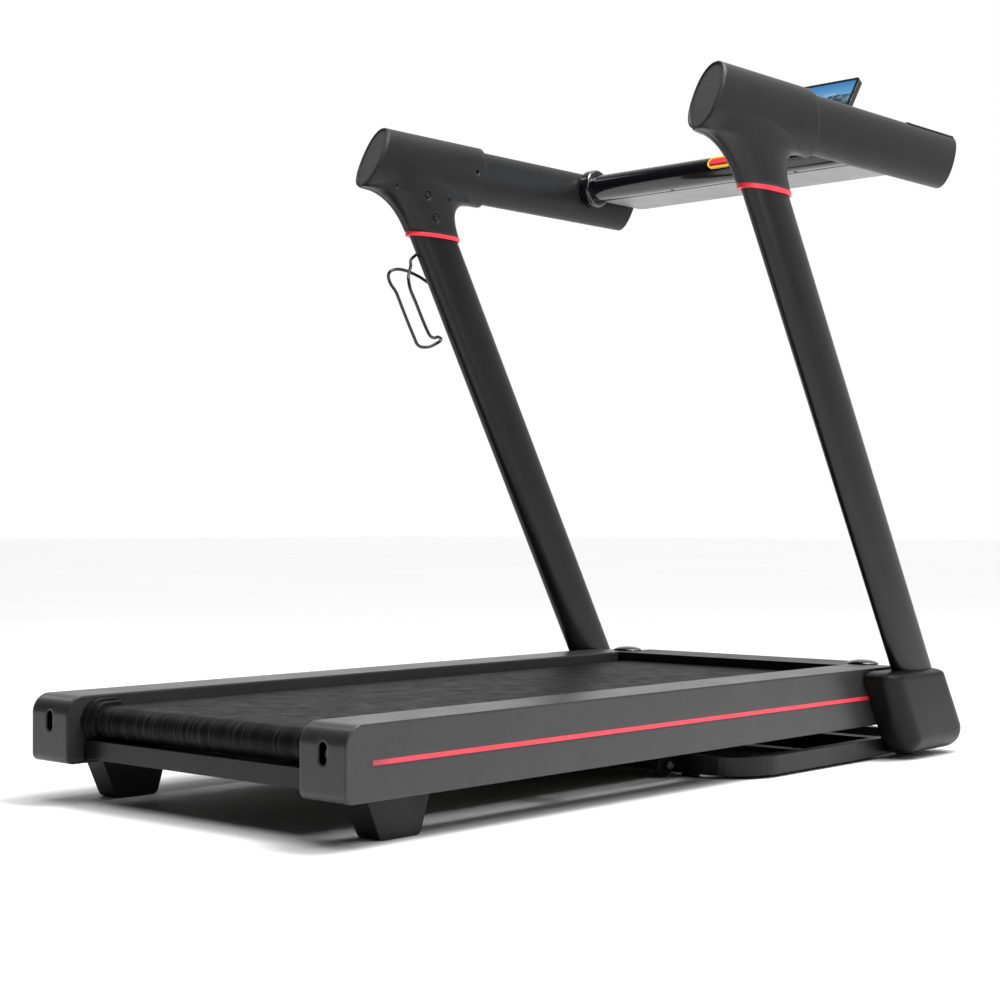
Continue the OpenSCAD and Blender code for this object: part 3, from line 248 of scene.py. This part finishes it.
M = {
    "rail": moulded("rail_charcoal", (0.026, 0.026, 0.027), 0.30, edge=0.006, spec=0.4),
    "upright": moulded("upright_black", (0.0035, 0.0035, 0.004), 0.32, grain=1400, spec=0.32),
    "boot": moulded("boot_black", (0.003, 0.003, 0.0033), 0.34, edge=0.012, spec=0.2),
    "case": moulded("case_black", (0.004, 0.004, 0.0045), 0.4, edge=0.0015, spec=0.3),
    "head": moulded("head_charcoal", (0.007, 0.007, 0.0075), 0.36, grain=1200, edge=0.011, wear_and_sheen=1.2,
                    spec=0.34),
    "handle": moulded("handle_soft", (0.006, 0.006, 0.0065), 0.38, grain=1500, wear_and_sheen=1.3, spec=0.34),
    "cap": moulded("cap_grey", (0.030, 0.030, 0.031), 0.55, grain=2200, grain_depth=0.0001),
    "gloss": moulded("gloss_black", (0.004, 0.004, 0.005), 0.14, coat=0.6, coat_rough=0.04, wear_and_sheen=1.2),
    "red": moulded("trim_red", (0.78, 0.035, 0.055), 0.35, wear_and_sheen=1.1),
    "stripe": stripe(),
    "frame": moulded("frame_powder", (0.004, 0.004, 0.0045), 0.34, grain=600, spec=0.3),
    "wire": moulded("wire_coated", (0.007, 0.007, 0.008), 0.3, coat=0.3, wear_and_sheen=1.2),
    "rubber": moulded("foot_rubber", (0.004, 0.004, 0.0045), 0.5, spec=0.3, grain=500, grain_depth=0.00008),
    "steel": turned("turned_steel", (0.5, 0.5, 0.52), 0.28),
    "dark_steel": moulded("blackened_steel", (0.05, 0.05, 0.053), 0.35, metallic=0.8, edge=0.0004),
    "zinc": moulded("cast_zinc", (0.45, 0.45, 0.47), 0.45, metallic=1.0, grain=400),
    "belt": belt(),
    "board": wood("board_wood"),
    "under": moulded("underplate", (0.24, 0.24, 0.245), 0.4, wear_and_sheen=1.1),
    "yellow": moulded("key_yellow", (0.9, 0.62, 0.03), 0.35, wear_and_sheen=1.1),
    "silver": moulded("button_silver", (0.5, 0.5, 0.52), 0.35, wear_and_sheen=1.2),
    "screen": screen(),
}

LOOK = {
    "rail": ["side_rail_left", "side_rail_right", "rail_nose_caps"],
    "upright": ["upright_left", "upright_right"],
    "boot": ["boot_left", "boot_right"],
    "case": ["motor_hood", "console_tray", "handle_pads", "belly_pan", "power_inlet", "roller_guards",
             "strut_cylinder"],
    "head": ["head_outer_left", "head_inner_left", "head_outer_right", "head_inner_right"],
    "cap": ["tube_end_caps"],
    "handle": ["handle_left", "handle_right"],
    "gloss": ["crossbar", "crossbar_collars", "hood_corner_caps", "display_housing"],
    "red": ["neck_rings", "safety_key", "button_stop", "power_switch"],
    "stripe": ["rail_stripes"],
    "frame": ["base_frame", "pivot_brackets", "deck_frame", "display_bracket"],
    "wire": ["bottle_cage"],
    "rubber": ["base_feet", "rear_feet", "deck_cushions", "wheel_left", "wheel_right", "drive_belt"],
    "steel": ["wheel_axles", "pivot_bolts", "roller_axles", "tension_bolts", "front_roller", "rear_roller",
              "motor_pulley", "strut_rod"],
    "dark_steel": ["button_screws"],
    "zinc": ["motor", "motor_controller"],
    "belt": ["running_belt"],
    "board": ["deck_board"],
    "under": ["tray_underplate"],
    "yellow": ["key_socket"],
    "silver": ["button_speed_up", "button_speed_down", "button_start"],
    "screen": ["display_glass"],
}


def paint(obj, material):
    obj.data.materials.clear()
    obj.data.materials.append(material)


for look, names in LOOK.items():
    for n in names:
        paint(nodes[n], M[look])

# ---------------------------------------------------------------- button marks


def box_of(name):
    o = nodes[name]
    pts = [o.matrix_world @ v.co for v in o.data.vertices]
    return ([min(p[i] for p in pts) for i in range(3)], [max(p[i] for p in pts) for i in range(3)])


def rect(w, h):
    return [(-w / 2, -h / 2), (w / 2, -h / 2), (w / 2, h / 2), (-w / 2, h / 2)]


def cross(a, b):
    """Plus sign: arms of half width a and half length b."""
    return [(-a, -b), (a, -b), (a, -a), (b, -a), (b, a), (a, a), (a, b), (-a, b),
            (-a, a), (-b, a), (-b, -a), (-a, -a)]


# Outlines of the marks in millimetres from the middle of each button; then, in metres, how deep they
# start under its top and how far they stand above it
MARKS = {
    "button_speed_up": cross(0.8, 3),
    "button_speed_down": rect(6, 1.6),
    "button_start": [(-2.2, -2.8), (3, 0), (-2.2, 2.8)],
    "button_stop": rect(4.6, 4.6),
}
MARK_SUNK = 0.0002
MARK_PROUD = 0.00018
MM = 1000
mark_dark = moulded("mark_print", (0.03, 0.03, 0.032), 0.4, wear_and_sheen=1.2)
mark_pale = moulded("mark_pale", (0.7, 0.7, 0.7), 0.4, wear_and_sheen=1.1)

for name, outline in MARKS.items():
    lo, hi = box_of(name)
    cx, cy, top = (lo[0] + hi[0]) / 2, (lo[1] + hi[1]) / 2, hi[2]
    bm = bmesh.new()
    base = [bm.verts.new((cx + x / MM, cy + y / MM, top - MARK_SUNK)) for x, y in outline]
    up = bmesh.ops.extrude_face_region(bm, geom=[bm.faces.new(base)])
    for v in up["geom"]:
        if isinstance(v, bmesh.types.BMVert):
            v.co.z = top + MARK_PROUD
    bmesh.ops.recalc_face_normals(bm, faces=bm.faces)
    mesh = bpy.data.meshes.new(name + "_mark")
    bm.to_mesh(mesh)
    bm.free()
    piece = bpy.data.objects.new(name + "_mark", mesh)
    sc.collection.objects.link(piece)
    paint(piece, mark_pale if name == "button_stop" else mark_dark)
    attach(piece, name)

# ---------------------------------------------------------------- studio

# Camera rays see plain white; for all others the world is brightest along BEHIND and nearly dark opposite
BEHIND = (-0.35, 0.93, 0.1)
world = bpy.data.worlds.new("studio")
sc.world = world
world.use_nodes = True
wt = world.node_tree
bg = wt.nodes["Background"]
bg.inputs["Color"].default_value = (1, 1, 1, 1)
bg.inputs["Strength"].default_value = 1.0
soft = wt.nodes.new("ShaderNodeBackground")
coord = wt.nodes.new("ShaderNodeTexCoord")
dot = wt.nodes.new("ShaderNodeVectorMath")
dot.operation = "DOT_PRODUCT"
dot.inputs[1].default_value = BEHIND
span = wt.nodes.new("ShaderNodeMapRange")
span.inputs["From Min"].default_value = 0.0
span.inputs["From Max"].default_value = 0.9
span.inputs["To Min"].default_value = 0.03
span.inputs["To Max"].default_value = 1.0
ray = wt.nodes.new("ShaderNodeLightPath")
both = wt.nodes.new("ShaderNodeMixShader")
wt.links.new(coord.outputs["Generated"], dot.inputs[0])
wt.links.new(dot.outputs["Value"], span.inputs["Value"])
wt.links.new(span.outputs["Result"], soft.inputs["Strength"])
wt.links.new(ray.outputs["Is Camera Ray"], both.inputs[0])
wt.links.new(soft.outputs[0], both.inputs[1])
wt.links.new(bg.outputs[0], both.inputs[2])
wt.links.new(both.outputs[0], wt.nodes["World Output"].inputs["Surface"])
sc.view_settings.view_transform = "Standard"

bm = bmesh.new()
bmesh.ops.create_grid(bm, x_segments=2, y_segments=2, size=40)
floor_mesh = bpy.data.meshes.new("floor")
bm.to_mesh(floor_mesh)
bm.free()
floor = bpy.data.objects.new("floor", floor_mesh)
sc.collection.objects.link(floor)
g = Graph("floor_white")
g.link(g.ramp(g.noise(0.7, 2), (0.88, 0.88, 0.88), (0.9, 0.9, 0.9)), g.bsdf.inputs["Base Color"])
g.bsdf.inputs["Roughness"].default_value = 0.6
g.bsdf.inputs["Specular IOR Level"].default_value = 0.2
paint(floor, g.mat)


def area(name, at, to, size, power, size_y=None):
    data = bpy.data.lights.new(name, "AREA")
    data.shape = "RECTANGLE"
    data.size = size
    data.size_y = size_y or size
    data.energy = power
    o = bpy.data.objects.new(name, data)
    sc.collection.objects.link(o)
    o.location = at
    o.rotation_euler = (Vector(to) - Vector(at)).to_track_quat("-Z", "Y").to_euler()
    return o


sun = bpy.data.lights.new("sun", "SUN")
sun.energy = 2.8
sun.angle = math.radians(66)
lamp = bpy.data.objects.new("sun", sun)
sc.collection.objects.link(lamp)
lamp.rotation_euler = (math.radians(-5), math.radians(16), 0)
area("strip", (-2.6, -0.4, 2.2), (0, 0.2, 0.8), 0.5, 8, 2.4)
area("side", (2.8, 0.9, 1.7), (0.3, 0.1, 0.5), 0.7, 16, 2.2)
area("top", (0.9, 0.3, 3.0), (0.2, 0.2, 1.0), 0.9, 85, 1.6)

cam_data = bpy.data.cameras.new("camera")
cam_data.lens = 67.57
cam_data.sensor_width = 36
cam_data.clip_end = 200
cam = bpy.data.objects.new("camera", cam_data)
sc.collection.objects.link(cam)
cam.location = (2.1788, -1.7108 + rear_y, 0.4391)
cam.rotation_euler = (math.radians(90 + 0.69), 0, math.radians(42.06))
sc.camera = cam
